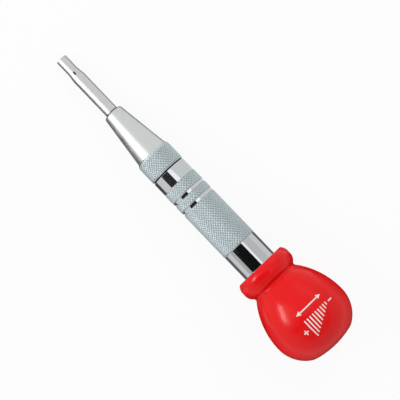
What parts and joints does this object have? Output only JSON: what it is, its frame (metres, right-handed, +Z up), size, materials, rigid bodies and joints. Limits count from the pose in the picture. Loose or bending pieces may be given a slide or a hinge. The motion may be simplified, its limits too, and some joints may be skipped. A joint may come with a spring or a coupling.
{
  "type": "automatic punch",
  "caption": "Spring-loaded automatic punch: hollow steel tip in a tapered nose, knurled chromed barrel, hammer and trip inside, and a red palm knob that sets the blow.",
  "frame": {"origin": "on the table the tool lies on, under the middle of its overall length and width", "axes": "+Z up from the table. The tool's own axis lies in the XZ plane and rises about 6 degrees from the tip, at -X, to the knob, at +X, because the tool rests on the tip's front edge and the knob's bulb."},
  "size_m": [0.1582, 0.035, 0.0351],
  "materials": {
    "chrome_plated_steel": "bright chrome plate over turned and diamond-knurled steel",
    "tool_steel": "ground and nickel-plated tool steel",
    "hardened_steel": "hardened and ground, lightly oiled",
    "spring_steel": "oil-tempered wire and strip",
    "zinc_plated_steel": "bright zinc plate",
    "bearing_bronze": "sintered bronze, oiled",
    "nitrile_rubber": "matt black moulded ring",
    "red_vinyl": "glossy dipped or moulded vinyl"
  },
  "bodies": {
    "housing": {"barrel": "chrome_plated_steel", "nose_cap": "chrome_plated_steel", "nose_bush": "bearing_bronze", "guide_bush": "bearing_bronze", "cam_sleeve": "hardened_steel", "stop_ring": "spring_steel", "friction_ring": "nitrile_rubber", "return_spring": "spring_steel", "main_spring": "spring_steel"},
    "plunger": {"punch_tip": "tool_steel", "spindle": "tool_steel"},
    "hammer_unit": {"hammer": "hardened_steel", "leaf_rivet": "tool_steel", "trip_spring": "spring_steel"},
    "trip_unit": {"trip_block": "hardened_steel"},
    "seat_unit": {"spring_seat": "hardened_steel", "thrust_ball": "hardened_steel"},
    "knob_unit": {"adjuster_screw": "zinc_plated_steel", "end_cap": "zinc_plated_steel", "lock_nut": "zinc_plated_steel", "knob": "red_vinyl"}
  },
  "joints": [
    {"name": "tip_press", "type": "slide", "parent": "housing", "child": "plunger", "axis": [0.9944, 0, 0.1058], "range_m": [0, 0.008], "stiffness_N_per_m": 13000, "springref_m": -0.002, "deforming": ["return_spring"]},
    {"name": "hammer_slide", "type": "slide", "parent": "housing", "child": "hammer_unit", "axis": [0.9944, 0, 0.1058], "range_m": [0, 0.008], "deforming": ["main_spring"]},
    {"name": "trip_shift", "type": "slide", "parent": "hammer_unit", "child": "trip_unit", "axis": [0.1058, 0, -0.9944], "range_m": [0, 0.0008], "deforming": ["trip_spring"]},
    {"name": "seat_advance", "type": "slide", "parent": "housing", "child": "seat_unit", "axis": [-0.9944, 0, -0.1058], "range_m": [-0.0025, 0.00375], "deforming": ["main_spring"]},
    {"name": "knob_turn", "type": "hinge", "parent": "seat_unit", "child": "knob_unit", "pos_m": [0.05263, 0, 0.01629], "axis": [-0.9944, 0, -0.1058], "range_deg": [-720, 1080]}
  ],
  "couplings": [
    {"joint": "hammer_slide", "follows": "tip_press", "ratio": 1},
    {"joint": "trip_shift", "follows": "tip_press", "ratio": 0.1},
    {"joint": "seat_advance", "follows": "knob_turn", "m_per_rad": 0.00019894}
  ]
}
